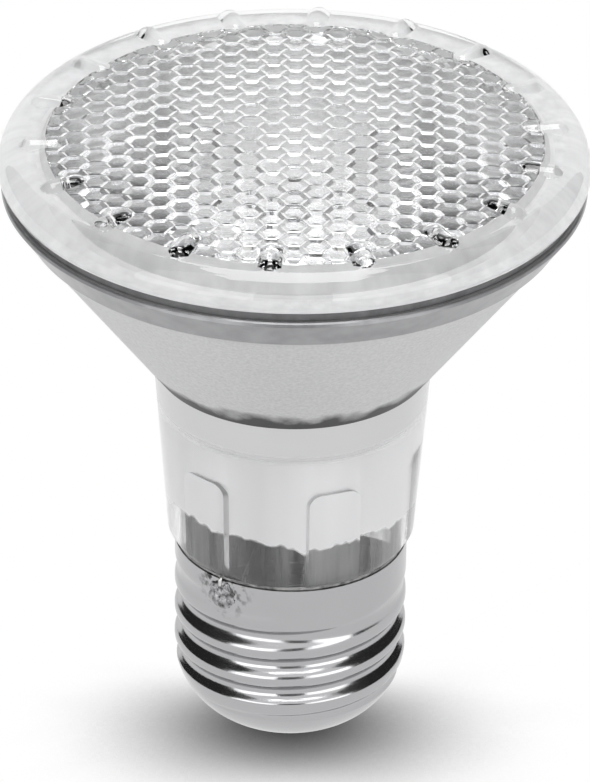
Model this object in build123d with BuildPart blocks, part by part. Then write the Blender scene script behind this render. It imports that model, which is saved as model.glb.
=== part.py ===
"""Halogen reflector lamp: a pressed glass body and lens round a quartz capsule, on a screw cap.

Millimetres, +Z up along the lamp's axis. The origin is the middle of the centre contact, at the
very bottom, and the light leaves through the lens at the top.
"""

import os
from math import atan, cos, hypot, radians, sin, sqrt

from build123d import *

# Clearance between pieces that are bonded, pressed or laid together
fit = 0.03

# Screw cap: one drawn sheet with a rolled thread, a plain skirt above and a round mouth below
cap_radius = 13.05
cap_height = 24.2
sheet = 0.3
thread_pitch = 3.629
thread_depth = 0.95
thread_land = 0.24
thread_start_z = 4.15
thread_turns = 3.9
dome_height = 10.6
cap_mouth_radius = 7.0
cap_mouth_z = 2.1

# Centre contact and the glass button that keeps it off the cap
contact_radius = 4.3
contact_flat_radius = 3.1
contact_height = 1.0
contact_sheet = 0.45
contact_hole_radius = 0.8
insulator_head_radius = 8.6
insulator_top_z = 6.7

# Pressed glass body: collar, neck, bowl and flange
rim_gap = 0.55
collar_radius = 12.3
collar_bottom_z = 20.6
neck_bore_radius = 10.9
neck_foot_radius = 13.1
neck_low_radius = 13.85
neck_chamfer_height = 1.25
neck_top_radius = 15.5
junction_z = 46.6
junction_wall = 4.7
bowl_radius = 29.4
bowl_top_z = 65.2
flange_radius = 32.3
flange_step = 1.0
flange_rise = 3.2
flange_edge = 0.5
rim_width = 4.4
floor_radius = 6.4
floor_thickness = 2.6
recess_count = 5
recess_width = 5.6
recess_depth = 0.6
recess_corner = 1.4
recess_top_z = 36.5
recess_angle = -67.0

# Bonding bead between the body and the lens
seal_thickness = 1.2
seal_inset = 0.5

# Lens: smooth dome outside, honeycomb of small lenses inside, studs on the shoulder
lens_radius = 32.6
lens_foot = 0.5
lens_belt = 0.5
shoulder_radius = 30.3
shoulder_height = 4.1
window_radius = 27.4
window_rise = 0.2
dome_rise = 1.7
lens_glass = 2.1
cell_across = 2.77
cell_height = 0.36
cell_slope = 50.0
stud_count = 18
stud_radius = 1.35
stud_proud = 0.9
stud_length = 2.6
stud_tip_radius = 29.0
stud_angle = -95.0

# Quartz capsule with its pinch, foils, pins and coil
pinch_width = 8.6
pinch_thickness = 2.8
pinch_length = 8.8
pinch_below_floor = 6.8
capsule_radius = 5.0
capsule_length = 15.0
quartz = 0.9
tip_radius = 0.9
tip_length = 1.6
lead_radius = 0.3
lead_spacing = 5.0
foil_width = 2.0
foil_length = 5.0
foil_thickness = 0.12
pin_radius = 0.45
pin_socket = 2.6
coil_length = 7.2
coil_radius = 0.9
coil_wire_radius = 0.15
coil_turns = 8
coil_above_bulb = 2.6
lead_bend = 0.8

# Cement that holds the pinch in the floor of the body
cement_fill = 0.9
cement_lip = 1.5
cement_depth = 2.6

# Wires, crimps, sleeve and solder
wire_radius = 0.22
crimp_radius = 0.85
crimp_length = 4.2
pin_showing = 1.6
wire_bend = 1.2
sleeve_radius = 0.75
sleeve_length = 6.0
side_angle = 234.0
wire_notch_radius = 0.42
wire_slot_width = 1.2
wire_slot_height = 2.4
solder_radius = 2.2
solder_proud = 0.9
solder_drop = 1.9
wire_tail = 0.9

# Heights and radii that follow from the sizes above
dome_bend = ((cap_radius - cap_mouth_radius) ** 2 + (dome_height - cap_mouth_z) ** 2) / (
    2 * (cap_radius - cap_mouth_radius)
)
dome_middle = cap_radius - dome_bend
body_foot_z = cap_height + rim_gap
flange_low_z = bowl_top_z + flange_step
flange_top_z = flange_low_z + flange_rise
mouth_radius = flange_radius - rim_width
waist_radius = neck_top_radius - junction_wall
four_focal = (mouth_radius**2 - waist_radius**2) / (flange_top_z - junction_z)
vertex_z = junction_z - waist_radius**2 / four_focal
floor_z = vertex_z + floor_radius**2 / four_focal
floor_under_z = floor_z - floor_thickness
lens_z = flange_top_z + seal_thickness
shoulder_z = lens_z + shoulder_height
window_z = shoulder_z + window_rise
lens_top_z = window_z + dome_rise
underside_z = window_z - lens_glass
pinch_z = floor_z - pinch_below_floor
bulb_z = pinch_z + pinch_length
capsule_top_z = bulb_z + capsule_length
foil_z = pinch_z + pin_socket
foil_top_z = foil_z + foil_length
coil_z = bulb_z + coil_above_bulb
coil_top_z = coil_z + coil_length
crimp_top_z = pinch_z - pin_showing
crimp_z = crimp_top_z - crimp_length
crimp_middle_z = crimp_z + crimp_length / 2
side_x = cos(radians(side_angle))
side_y = sin(radians(side_angle))


def dome_z(radius, wall):
    """Height of the cap's round bottom at a radius, at a depth of wall under its outer face."""
    return dome_height - sqrt((dome_bend - wall) ** 2 - (radius - dome_middle) ** 2)


def ring_profile(points):
    """A closed outline in the X-Z plane, turned round the lamp's axis."""
    with BuildPart() as ring:
        with BuildSketch(Plane.XZ):
            with BuildLine():
                Polyline(*points, close=True)
            make_face()
        revolve(axis=Axis.Z)
    return ring.part


def write(piece, name):
    """Label a finished piece and write its STEP file."""
    piece.part.label = name
    export_step(piece.part, f"parts/{name}.step")


def groove_tool(wall):
    """The helical space outside the rolled thread, at a depth of wall under the outer face."""
    span = (thread_pitch - thread_land) / 2
    slope = 2 * atan(thread_depth / span)
    crest_bend = span / sin(slope) / 2 - wall
    crest = thread_depth - wall
    tangent_x = crest - crest_bend * (1 - cos(slope))
    tangent_y = span - crest_bend * sin(slope)
    middle_x = crest - crest_bend * (1 - cos(slope / 2))
    middle_y = span - crest_bend * sin(slope / 2)
    outside = thread_depth + 1.0
    with BuildLine() as path:
        Helix(
            pitch=thread_pitch,
            height=thread_turns * thread_pitch,
            radius=cap_radius - thread_depth,
            center=(0, 0, thread_start_z),
        )
    start = path.edges()[0]
    with BuildPart() as tool:
        with BuildSketch(Plane(origin=start @ 0, x_dir=(1, 0, 0), z_dir=start % 0)):
            with BuildLine():
                ThreePointArc((crest, -span), (middle_x, -middle_y), (tangent_x, -tangent_y))
                ThreePointArc((tangent_x, -tangent_y), (-wall, 0), (tangent_x, tangent_y))
                ThreePointArc((tangent_x, tangent_y), (middle_x, middle_y), (crest, span))
                Polyline((crest, span), (outside, span), (outside, -span), (crest, -span))
            make_face()
        sweep(path=path.wires()[0], is_frenet=True)
    return tool.part


def cap_form(wall, low_z, high_z):
    """A solid of the cap's form at a depth of wall, from the round bottom to high_z."""
    radius = cap_radius - wall
    end_z = dome_z(cap_mouth_radius, wall)
    with BuildPart() as form:
        with BuildSketch(Plane.XZ):
            with BuildLine():
                Line((radius, high_z), (radius, dome_height))
                TangentArc((radius, dome_height), (cap_mouth_radius, end_z), tangent=(0, -1))
                Polyline((cap_mouth_radius, end_z), (cap_mouth_radius, low_z), (0, low_z), (0, high_z))
                Line((0, high_z), (radius, high_z))
            make_face()
        revolve(axis=Axis.Z)
        add(groove_tool(wall), mode=Mode.SUBTRACT)
    return form.part


os.makedirs("parts", exist_ok=True)

# The rolled thread shows on both faces of the sheet, so the inside is the same form, one wall in.
with BuildPart() as screw_shell:
    add(cap_form(0, cap_mouth_z - fit, cap_height))
    add(cap_form(sheet, cap_mouth_z - 1, cap_height + 1), mode=Mode.SUBTRACT)
write(screw_shell, "screw_shell")

with BuildPart() as centre_contact:
    add(
        ring_profile(
            [
                (contact_hole_radius, 0),
                (contact_flat_radius, 0),
                (contact_radius, contact_height),
                (contact_radius - contact_sheet, contact_height),
                (contact_flat_radius - contact_sheet / 2, contact_sheet),
                (contact_hole_radius, contact_sheet),
            ]
        )
    )
write(centre_contact, "centre_contact")

# A moulded glass button: its head lies on the cap's round bottom and its face carries the contact.
with BuildPart() as insulator:
    head_wall = sheet + fit
    head_middle = (cap_mouth_radius + insulator_head_radius) / 2
    neck_radius = cap_mouth_radius - fit
    with BuildSketch(Plane.XZ):
        with BuildLine():
            Polyline(
                (neck_radius, dome_z(neck_radius, head_wall)),
                (neck_radius, cap_mouth_z),
                (contact_radius + fit, contact_height + fit),
                (contact_radius - contact_sheet, contact_height + fit),
                (contact_flat_radius - contact_sheet / 2, contact_sheet + fit),
                (contact_hole_radius, contact_sheet + fit),
                (contact_hole_radius, insulator_top_z),
                (insulator_head_radius, insulator_top_z),
                (insulator_head_radius, dome_z(insulator_head_radius, head_wall)),
            )
            ThreePointArc(
                (insulator_head_radius, dome_z(insulator_head_radius, head_wall)),
                (head_middle, dome_z(head_middle, head_wall)),
                (neck_radius, dome_z(neck_radius, head_wall)),
            )
        make_face()
    revolve(axis=Axis.Z)
write(insulator, "insulator")

# The side wire leaves the neck through a slot in the collar and goes over the cap's rim.
wire_up_radius = (collar_radius + cap_radius - sheet) / 2 - wire_radius / 2
wire_over_z = cap_height + rim_gap / 2
wire_down_radius = cap_radius + wire_radius + fit
wire_in_radius = neck_bore_radius * 0.8
slot_z = collar_bottom_z + wire_slot_height / 2
with BuildPart() as side_wire:
    with BuildLine() as side_path:
        FilletPolyline(
            (-lead_spacing / 2, 0, crimp_middle_z - fit),
            (-lead_spacing / 2, 0, crimp_z - 2 * wire_bend),
            (side_x * wire_in_radius, side_y * wire_in_radius, slot_z + wire_bend),
            (side_x * wire_up_radius, side_y * wire_up_radius, slot_z),
            (side_x * wire_up_radius, side_y * wire_up_radius, wire_over_z),
            (side_x * wire_down_radius, side_y * wire_down_radius, wire_over_z),
            (side_x * wire_down_radius, side_y * wire_down_radius, wire_over_z - wire_tail),
            radius=[wire_bend, wire_bend, 2 * wire_radius, 1.5 * wire_radius, 1.5 * wire_radius],
        )
    with BuildSketch(Plane(origin=side_path.wires()[0] @ 0, z_dir=side_path.wires()[0] % 0)):
        Circle(wire_radius)
    sweep(path=side_path.wires()[0])
write(side_wire, "side_wire")

with BuildPart() as wire_way:
    with BuildSketch(Plane.XY.offset(collar_bottom_z - 1)):
        with Locations((side_x * wire_up_radius, side_y * wire_up_radius)):
            Circle(wire_notch_radius)
    extrude(amount=body_foot_z - collar_bottom_z + 1)
    with BuildSketch(Plane.XY.offset(collar_bottom_z - 1)):
        with Locations(Location((side_x * wire_up_radius, side_y * wire_up_radius, 0), (0, 0, side_angle))):
            Rectangle(
                3 * (wire_up_radius - neck_bore_radius), wire_slot_width, align=(Align.MAX, Align.CENTER)
            )
    extrude(amount=wire_slot_height + 1)

# A recess pressed into the neck's bore: flat, with round upper corners, and open at the bottom.
with BuildPart() as recess:
    with BuildSketch(Plane.YZ.offset(neck_bore_radius - 2 * recess_depth)):
        with Locations((0, (collar_bottom_z - 1 + recess_top_z) / 2)):
            window = Rectangle(recess_width, recess_top_z - collar_bottom_z + 1)
        fillet(window.vertices().group_by(Axis.Z)[-1], recess_corner)
    extrude(amount=3 * recess_depth)

# One piece of pressed glass: open collar and neck, a pierced floor, the bowl and the sealing flange.
with BuildPart() as reflector:
    with BuildSketch(Plane.XZ):
        with BuildLine():
            Polyline(
                (collar_radius, collar_bottom_z),
                (collar_radius, body_foot_z),
                (neck_foot_radius, body_foot_z),
                (neck_low_radius, body_foot_z + neck_chamfer_height),
                (neck_top_radius, junction_z),
                (bowl_radius, bowl_top_z),
                (bowl_radius + flange_step, flange_low_z),
                (flange_radius, flange_top_z - flange_edge),
                (flange_radius - flange_edge / 2, flange_top_z),
                (mouth_radius, flange_top_z),
            )
            Bezier(
                (mouth_radius, flange_top_z),
                ((mouth_radius + floor_radius) / 2, vertex_z + mouth_radius * floor_radius / four_focal),
                (floor_radius, floor_z),
            )
            Polyline(
                (floor_radius, floor_z),
                (0, floor_z),
                (0, floor_under_z),
                (neck_bore_radius, floor_under_z),
                (neck_bore_radius, collar_bottom_z),
                (collar_radius, collar_bottom_z),
            )
        make_face()
    revolve(axis=Axis.Z)
    with PolarLocations(0, recess_count, start_angle=recess_angle):
        add(recess.part, mode=Mode.SUBTRACT)
    add(wire_way.part, mode=Mode.SUBTRACT)
    with BuildSketch(Plane.XY.offset(floor_z)):
        RectangleRounded(
            pinch_width + 2 * cement_fill, pinch_thickness + 2 * cement_fill, pinch_thickness / 2
        )
    extrude(amount=-floor_thickness, mode=Mode.SUBTRACT)
write(reflector, "reflector")

with BuildPart() as cap_cement:
    with BuildSketch(Plane.XY.offset(collar_bottom_z)):
        Circle(cap_radius - sheet - fit)
        Circle(collar_radius + fit, mode=Mode.SUBTRACT)
    extrude(amount=cap_height - rim_gap - collar_bottom_z)
    add(wire_way.part, mode=Mode.SUBTRACT)
write(cap_cement, "cap_cement")

with BuildPart() as rim_seal:
    with BuildSketch(Plane.XY.offset(flange_top_z)):
        Circle(flange_radius - seal_inset)
        Circle(mouth_radius + seal_inset, mode=Mode.SUBTRACT)
    extrude(amount=seal_thickness)
write(rim_seal, "rim_seal")

# One hexagonal cell of the honeycomb, a low flat-topped hill that hangs from the lens's underside.
with BuildPart() as cell:
    with BuildSketch(Plane.XY.offset(underside_z)):
        RegularPolygon(cell_across / 2, 6, major_radius=False, rotation=30)
    extrude(amount=cell_height, dir=(0, 0, -1), taper=90 - cell_slope)

with BuildPart() as stud:
    with BuildSketch(Plane.YZ.offset(stud_tip_radius - stud_length)):
        with Locations((0, shoulder_z + stud_proud - stud_radius)):
            Circle(stud_radius)
    extrude(amount=stud_length)
    with Locations(
        (stud_tip_radius, 0, shoulder_z + stud_proud - stud_radius),
        (stud_tip_radius - stud_length, 0, shoulder_z + stud_proud - stud_radius),
    ):
        Sphere(stud_radius)

column_step = cell_across * sqrt(3) / 2
column_count = int(window_radius / column_step) + 1
row_count = int(window_radius / cell_across) + 1
cell_reach = window_radius - cell_across / 2
cell_places = []
for column in range(-column_count, column_count + 1):
    for row in range(-row_count, row_count + 1):
        place_x = column * column_step
        place_y = (row + (column % 2) / 2) * cell_across
        if hypot(place_x, place_y) < cell_reach:
            cell_places.append((place_x, place_y))

# One pressed glass cover: a belt that sits on the seal, a round shoulder and the domed window.
with BuildPart() as lens:
    with BuildSketch(Plane.XZ):
        with BuildLine():
            belt_top_z = lens_z + lens_foot + lens_belt
            Polyline(
                (mouth_radius, lens_z),
                (lens_radius - lens_foot, lens_z),
                (lens_radius, lens_z + lens_foot),
                (lens_radius, belt_top_z),
            )
            TangentArc((lens_radius, belt_top_z), (shoulder_radius, shoulder_z), tangent=(0, 1))
            Line((shoulder_radius, shoulder_z), (window_radius, window_z))
            TangentArc((0, lens_top_z), (window_radius, window_z), tangent=(1, 0))
            Polyline((0, lens_top_z), (0, underside_z), (window_radius, underside_z), (mouth_radius, lens_z))
        make_face()
    revolve(axis=Axis.Z)
    with PolarLocations(0, stud_count, start_angle=stud_angle):
        add(stud.part)
    with Locations(*cell_places):
        add(cell.part)
write(lens, "lens")

# The seal foils, and the pins and leads that meet them inside the pinch.
for side, name in ((-1, "left"), (1, "right")):
    with BuildPart() as foil:
        with Locations((side * lead_spacing / 2, 0, foil_z)):
            Box(foil_width, foil_thickness, foil_length, align=(Align.CENTER, Align.CENTER, Align.MIN))
    write(foil, f"{name}_foil")
    with BuildPart() as pin:
        with Locations((side * lead_spacing / 2, 0, crimp_middle_z + fit)):
            Cylinder(
                pin_radius,
                foil_z - crimp_middle_z - fit,
                align=(Align.CENTER, Align.CENTER, Align.MIN),
            )
    write(pin, f"{name}_pin")
    with BuildPart() as crimp:
        with BuildSketch(Plane.XY.offset(crimp_z)):
            with Locations((side * lead_spacing / 2, 0)):
                Circle(crimp_radius)
                Circle(wire_radius + fit, mode=Mode.SUBTRACT)
        extrude(amount=crimp_length / 2)
        with BuildSketch(Plane.XY.offset(crimp_middle_z)):
            with Locations((side * lead_spacing / 2, 0)):
                Circle(crimp_radius)
                Circle(pin_radius + fit, mode=Mode.SUBTRACT)
        extrude(amount=crimp_length / 2)
    write(crimp, f"{name}_crimp")

with BuildPart() as coil:
    with BuildLine() as coil_path:
        Helix(
            pitch=coil_length / coil_turns,
            height=coil_length,
            radius=coil_radius,
            center=(0, 0, coil_z),
        )
    with BuildSketch(Plane(origin=coil_path.edges()[0] @ 0, z_dir=coil_path.edges()[0] % 0)):
        Circle(coil_wire_radius)
    sweep(path=coil_path.wires()[0], is_frenet=True)
write(coil, "coil")

# The leads rise from the foils into the bulb and hold the two ends of the coil.
lead_end_gap = coil_wire_radius + fit
with BuildPart() as short_lead:
    with BuildLine() as short_path:
        FilletPolyline(
            (lead_spacing / 2, 0, foil_top_z),
            (lead_spacing / 2, 0, coil_z - 2 * lead_bend),
            (coil_radius, 0, coil_z - 1.5 * lead_bend),
            (coil_radius, 0, coil_z - lead_end_gap),
            radius=[lead_bend / 2, lead_bend / 2],
        )
    with BuildSketch(Plane(origin=short_path.wires()[0] @ 0, z_dir=short_path.wires()[0] % 0)):
        Circle(lead_radius)
    sweep(path=short_path.wires()[0])
write(short_lead, "short_lead")

with BuildPart() as long_lead:
    with BuildLine() as long_path:
        FilletPolyline(
            (-lead_spacing / 2, 0, foil_top_z),
            (-lead_spacing / 2, 0, coil_top_z + 2 * lead_bend),
            (coil_radius, 0, coil_top_z + 2 * lead_bend),
            (coil_radius, 0, coil_top_z + lead_end_gap),
            radius=[lead_bend, lead_bend / 2],
        )
    with BuildSketch(Plane(origin=long_path.wires()[0] @ 0, z_dir=long_path.wires()[0] % 0)):
        Circle(lead_radius)
    sweep(path=long_path.wires()[0])
write(long_lead, "long_lead")

# The space that the sealed-in metal takes up in the pinch
with BuildPart() as sealed_metal:
    with Locations(
        (-lead_spacing / 2, 0, foil_z),
        (lead_spacing / 2, 0, foil_z),
    ):
        Box(foil_width, foil_thickness, foil_length, align=(Align.CENTER, Align.CENTER, Align.MIN))
    with Locations((-lead_spacing / 2, 0, pinch_z), (lead_spacing / 2, 0, pinch_z)):
        Cylinder(pin_radius, pin_socket, align=(Align.CENTER, Align.CENTER, Align.MIN))
    with Locations((-lead_spacing / 2, 0, foil_top_z), (lead_spacing / 2, 0, foil_top_z)):
        Cylinder(
            lead_radius,
            bulb_z + capsule_radius - foil_top_z,
            align=(Align.CENTER, Align.CENTER, Align.MIN),
        )

# Blown quartz tube: a round bulb with the drawn-off tip, pressed flat over the foils below.
with BuildPart() as capsule:
    with BuildSketch(Plane.XZ):
        with BuildLine():
            ThreePointArc(
                (0, bulb_z),
                (capsule_radius * sin(radians(45)), bulb_z + capsule_radius * (1 - cos(radians(45)))),
                (capsule_radius, bulb_z + capsule_radius),
            )
            Line((capsule_radius, bulb_z + capsule_radius), (capsule_radius, capsule_top_z - capsule_radius))
            ThreePointArc(
                (capsule_radius, capsule_top_z - capsule_radius),
                (capsule_radius * sin(radians(45)), capsule_top_z - capsule_radius * (1 - cos(radians(45)))),
                (0, capsule_top_z),
            )
            Line((0, capsule_top_z), (0, bulb_z))
        make_face()
    revolve(axis=Axis.Z)
    with BuildSketch(Plane.XY.offset(pinch_z)):
        RectangleRounded(pinch_width, pinch_thickness, pinch_thickness / 3)
    extrude(amount=pinch_length + capsule_radius - quartz)
    with BuildSketch(Plane.XY.offset(capsule_top_z - capsule_radius / 2)):
        Circle(tip_radius)
    extrude(amount=capsule_radius / 2 + tip_length)
    fillet(capsule.faces().sort_by(Axis.Z)[-1].edges(), tip_radius * 0.6)
    bore_radius = capsule_radius - quartz
    with BuildSketch(Plane.XZ):
        with BuildLine():
            ThreePointArc(
                (0, bulb_z + quartz),
                (bore_radius * sin(radians(45)), bulb_z + capsule_radius - bore_radius * cos(radians(45))),
                (bore_radius, bulb_z + capsule_radius),
            )
            Line((bore_radius, bulb_z + capsule_radius), (bore_radius, capsule_top_z - capsule_radius))
            ThreePointArc(
                (bore_radius, capsule_top_z - capsule_radius),
                (
                    bore_radius * sin(radians(45)),
                    capsule_top_z - capsule_radius + bore_radius * cos(radians(45)),
                ),
                (0, capsule_top_z - quartz),
            )
            Line((0, capsule_top_z - quartz), (0, bulb_z + quartz))
        make_face()
    revolve(axis=Axis.Z, mode=Mode.SUBTRACT)
    add(sealed_metal.part, mode=Mode.SUBTRACT)
write(capsule, "quartz_capsule")

# Ceramic cement fills the hole in the body's floor and grips the pinch from below.
with BuildPart() as capsule_cement:
    plug_width = pinch_width + 2 * cement_fill
    plug_thickness = pinch_thickness + 2 * cement_fill
    with BuildSketch(Plane.XY.offset(floor_under_z)):
        RectangleRounded(plug_width - 2 * fit, plug_thickness - 2 * fit, pinch_thickness / 2)
    extrude(amount=floor_thickness)
    with BuildSketch(Plane.XY.offset(floor_under_z - cement_depth)):
        RectangleRounded(plug_width + 2 * cement_lip, plug_thickness + 2 * cement_lip, pinch_thickness)
    extrude(amount=cement_depth)
    fillet(capsule_cement.faces().sort_by(Axis.Z)[0].edges(), cement_depth / 3)
    with BuildSketch(Plane.XY.offset(floor_under_z - cement_depth)):
        RectangleRounded(pinch_width + 2 * fit, pinch_thickness + 2 * fit, pinch_thickness / 3)
    extrude(amount=cement_depth + floor_thickness, mode=Mode.SUBTRACT)
write(capsule_cement, "capsule_cement")

sleeve_z = insulator_top_z + fit
sleeve_top_z = sleeve_z + sleeve_length
wire_end_z = contact_sheet / 2
with BuildPart() as centre_wire:
    with BuildLine() as centre_path:
        FilletPolyline(
            (lead_spacing / 2, 0, crimp_middle_z - fit),
            (lead_spacing / 2, 0, crimp_z - wire_bend),
            (0, 0, sleeve_top_z + wire_bend),
            (0, 0, wire_end_z),
            radius=[2 * wire_bend, 2 * wire_bend],
        )
    with BuildSketch(Plane(origin=centre_path.wires()[0] @ 0, z_dir=centre_path.wires()[0] % 0)):
        Circle(wire_radius)
    sweep(path=centre_path.wires()[0])
write(centre_wire, "centre_wire")

with BuildPart() as wire_sleeve:
    with BuildSketch(Plane.XY.offset(sleeve_z)):
        Circle(sleeve_radius)
        Circle(wire_radius + fit, mode=Mode.SUBTRACT)
    extrude(amount=sleeve_length)
write(wire_sleeve, "wire_sleeve")

with BuildPart() as centre_solder:
    solder_reach = contact_hole_radius - fit
    add(
        ring_profile(
            [
                (0, 0),
                (solder_reach, 0),
                (solder_reach, 2 * contact_sheet),
                (wire_radius + fit, 3 * contact_sheet),
                (wire_radius + fit, wire_end_z - fit),
                (0, wire_end_z - fit),
            ]
        )
    )
write(centre_solder, "centre_solder")

# A lump of solder on the skirt, just under the rim, holds the tail of the side wire.
with BuildPart() as side_solder:
    lump_radius = cap_radius + solder_proud - solder_radius
    with Locations((side_x * lump_radius, side_y * lump_radius, cap_height - solder_drop)):
        Sphere(solder_radius)
    with BuildSketch(Plane.XY):
        Circle(cap_radius)
    extrude(amount=cap_height + rim_gap, mode=Mode.SUBTRACT)
    add(side_wire.part, mode=Mode.SUBTRACT)
write(side_solder, "side_solder")
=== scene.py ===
# %% [markdown]
# # A halogen reflector lamp, piece by piece
#
# The lamp on this bench is a pressed glass cone with a patterned cover, a clear glass neck and a
# plated screw cap. Its solids arrive ready made as a fixed frame. This lesson dresses them: it
# models the surfaces that catch the light at full detail, and gives each finish its own material.
# Everything is in metres, so a millimetre is written as 1 * MM.

# %% Load the frame
import math

import bmesh
import bpy
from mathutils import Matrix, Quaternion, Vector, noise


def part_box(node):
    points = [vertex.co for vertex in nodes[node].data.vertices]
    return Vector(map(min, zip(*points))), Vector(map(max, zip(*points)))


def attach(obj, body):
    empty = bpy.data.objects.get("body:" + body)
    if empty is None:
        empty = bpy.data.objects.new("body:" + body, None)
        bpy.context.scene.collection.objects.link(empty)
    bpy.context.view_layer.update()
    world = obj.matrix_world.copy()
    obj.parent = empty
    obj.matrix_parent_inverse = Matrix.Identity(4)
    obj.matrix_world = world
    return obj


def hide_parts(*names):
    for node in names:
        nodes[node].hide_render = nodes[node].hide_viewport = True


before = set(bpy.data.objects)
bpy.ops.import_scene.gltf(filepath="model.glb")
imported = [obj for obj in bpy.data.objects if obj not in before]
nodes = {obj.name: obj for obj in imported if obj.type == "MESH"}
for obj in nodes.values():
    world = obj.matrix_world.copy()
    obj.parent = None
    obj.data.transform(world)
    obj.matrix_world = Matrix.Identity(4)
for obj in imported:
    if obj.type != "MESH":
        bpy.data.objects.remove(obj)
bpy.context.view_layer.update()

MM = 0.001

# %% [markdown]
# The driving sizes below are the lamp maker's own. What can be measured on the frame is read from
# it, so that a dressed piece lies exactly where its solid does.

# %% Sizes
lens_low, lens_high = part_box("lens")
body_low, body_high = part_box("reflector")
cap_low, cap_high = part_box("screw_shell")

CAP_RADIUS = cap_high.x
CAP_TOP_Z = cap_high.z
SHEET = 0.3 * MM

COLLAR_RADIUS = 12.3 * MM
COLLAR_Z = body_low.z
BODY_FOOT_Z = CAP_TOP_Z + 0.55 * MM
NECK_BORE = 10.9 * MM
NECK_FOOT_RADIUS = 13.1 * MM
NECK_LOW_RADIUS = 13.85 * MM
NECK_TOP_RADIUS = 15.5 * MM
JUNCTION_Z = 46.6 * MM
BOWL_RADIUS = 29.4 * MM
BOWL_TOP_Z = 65.2 * MM
FLANGE_RADIUS = body_high.x
FLANGE_TOP_Z = body_high.z
MOUTH_RADIUS = FLANGE_RADIUS - 4.4 * MM
WAIST_RADIUS = NECK_TOP_RADIUS - 4.7 * MM
FLOOR_RADIUS = 6.4 * MM
FLOOR_THICKNESS = 2.6 * MM

LENS_RADIUS = lens_high.x
LENS_Z = lens_low.z
SOLDER_ANGLE = math.radians(234)
SOLDER_WAY = Vector((math.cos(SOLDER_ANGLE), math.sin(SOLDER_ANGLE), 0))
SOLDER_SPOT = (CAP_RADIUS * SOLDER_WAY.x, CAP_RADIUS * SOLDER_WAY.y, CAP_TOP_Z - 0.8 * MM)

# The bowl's inside is a parabola through its mouth and its waist.
FOUR_FOCAL = (MOUTH_RADIUS**2 - WAIST_RADIUS**2) / (FLANGE_TOP_Z - JUNCTION_Z)
VERTEX_Z = JUNCTION_Z - WAIST_RADIUS**2 / FOUR_FOCAL
FLOOR_Z = VERTEX_Z + FLOOR_RADIUS**2 / FOUR_FOCAL
print("floor of the bowl at", round(FLOOR_Z / MM, 2), "mm")


# %% [markdown]
# ## Helpers
#
# Most of the lamp is turned: a profile spun round the axis. A small helper makes such a mesh from
# its profile, and smooths it except where the profile has a hard corner.

# %% Turned meshes
def linked(name, data):
    """A new object in the scene."""
    item = bpy.data.objects.new(name, data)
    bpy.context.scene.collection.objects.link(item)
    return item


def put(mesh, material_slot, materials, *replaced):
    """Make an object of a mesh, ride it on the lamp and hide the solids it stands in for."""
    piece = linked(mesh.name, mesh)
    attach(piece, "root")
    if replaced:
        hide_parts(*replaced)
    for material in materials:
        mesh.materials.append(material)
    return piece


def mesh_of(work, name):
    """Turn a bmesh into a mesh and free it."""
    mesh = bpy.data.meshes.new(name)
    work.to_mesh(mesh)
    work.free()
    return mesh


def shade(mesh, degrees):
    """Smooth shading that keeps every edge sharper than the given angle."""
    for face in mesh.polygons:
        face.use_smooth = True
    mesh.set_sharp_from_angle(angle=math.radians(degrees))


def turned(name, profile, steps, degrees=30):
    """Spin a closed outline of (radius, height) points into a ring."""
    angles = [2 * math.pi * i / steps for i in range(steps)]
    points = []
    for radius, height in profile:
        points += [(radius * math.cos(a), radius * math.sin(a), height) for a in angles]
    faces = []
    rows = len(profile)
    for row in range(rows):
        low = row * steps
        high = (row + 1) % rows * steps
        for i in range(steps):
            j = (i + 1) % steps
            faces.append((low + i, low + j, high + j, high + i))
    mesh = bpy.data.meshes.new(name)
    mesh.from_pydata(points, [], faces)
    work = bmesh.new()
    work.from_mesh(mesh)
    bmesh.ops.remove_doubles(work, verts=work.verts, dist=1e-6)
    bmesh.ops.dissolve_degenerate(work, dist=1e-7, edges=work.edges)
    bmesh.ops.recalc_face_normals(work, faces=work.faces)
    work.to_mesh(mesh)
    work.free()
    shade(mesh, degrees)
    return mesh


def arc(centre, radius, start, end, steps):
    """Points of a circle's arc in the profile plane, angles in degrees."""
    points = []
    for i in range(steps + 1):
        angle = math.radians(start + (end - start) * i / steps)
        points.append((centre[0] + radius * math.cos(angle), centre[1] + radius * math.sin(angle)))
    return points


# %% [markdown]
# ## Materials
#
# Each finish is a small node tree round one Principled shader. The first helper makes the shader
# with its constants on its own sockets. The others make noise in the lamp's own coordinates and
# turn it into bumps, ranges and greys.

# %% Material helpers
def finish(name, **values):
    """A material with one Principled shader, its plain values set on the shader's sockets."""
    material = bpy.data.materials.new(name)
    material.use_nodes = True
    shader = material.node_tree.nodes["Principled BSDF"]
    for socket, value in values.items():
        shader.inputs[socket.replace("_", " ")].default_value = value
    return material, material.node_tree, shader


def join(tree, source, socket):
    """Link a socket, or a node's first output, to a socket. Does nothing if none is given."""
    if socket is not None:
        output = source if isinstance(source, bpy.types.NodeSocket) else source.outputs[0]
        tree.links.new(output, socket)


def combined(tree, operation, *terms):
    """A Math node, each of its terms a plain number or something to link."""
    node = tree.nodes.new("ShaderNodeMath")
    node.operation = operation
    for socket, term in zip(node.inputs, terms):
        if isinstance(term, float):
            socket.default_value = term
        else:
            join(tree, term, socket)
    return node


def own_place(tree):
    """The lamp's own coordinates, in metres."""
    return tree.nodes.new("ShaderNodeTexCoord").outputs["Object"]


def grain(tree, scale, detail=4.0, place=None):
    """Noise in lumps per metre, in the lamp's own coordinates unless others are given."""
    texture = tree.nodes.new("ShaderNodeTexNoise")
    texture.inputs["Scale"].default_value = scale
    texture.inputs["Detail"].default_value = detail
    join(tree, own_place(tree) if place is None else place, texture.inputs["Vector"])
    return texture


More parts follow.
